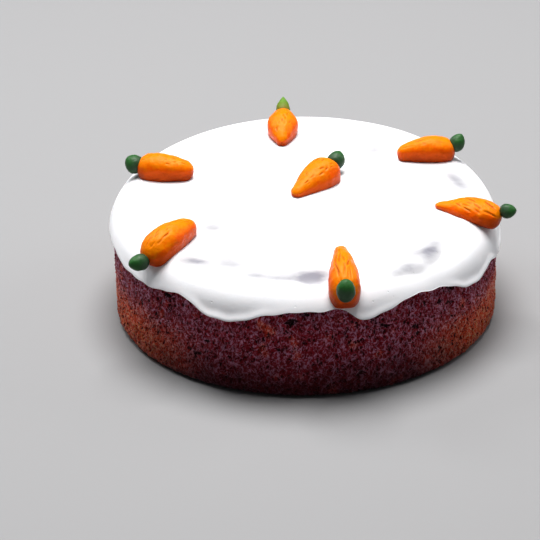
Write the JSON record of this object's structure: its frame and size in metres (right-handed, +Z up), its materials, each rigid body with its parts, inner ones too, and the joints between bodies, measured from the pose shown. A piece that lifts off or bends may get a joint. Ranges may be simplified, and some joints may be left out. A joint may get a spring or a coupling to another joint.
{
  "type": "round iced carrot cake",
  "caption": "Round sponge cake with a poured white icing top that hangs over the rim in a wavy edge, set with small marzipan carrots.",
  "frame": {"origin": "centre of the cake's flat base, on the surface it rests on", "axes": "+Z up, -Y towards the front of the cake, +X to its right as seen from the front"},
  "size_m": [0.2075, 0.2037, 0.0781],
  "materials": {
    "sponge": "moist open crumb, dark brown",
    "icing": "smooth white icing with a soft gloss",
    "orange_marzipan": "satin orange marzipan, darker towards the underside",
    "green_marzipan": "glossy dark green",
    "pale_green_marzipan": "satin pale green"
  },
  "bodies": {
    "root": {"sponge": "sponge", "icing": "icing", "carrot_centre": "orange_marzipan", "bud_centre": "green_marzipan", "carrot_back": "orange_marzipan", "bud_back": "pale_green_marzipan", "carrot_right_back": "orange_marzipan", "bud_right_back": "green_marzipan", "carrot_right": "orange_marzipan", "bud_right": "green_marzipan", "carrot_front": "orange_marzipan", "bud_front": "green_marzipan", "carrot_left_front": "orange_marzipan", "bud_left_front": "green_marzipan", "carrot_left_back": "orange_marzipan", "bud_left_back": "green_marzipan"}
  },
  "joints": []
}
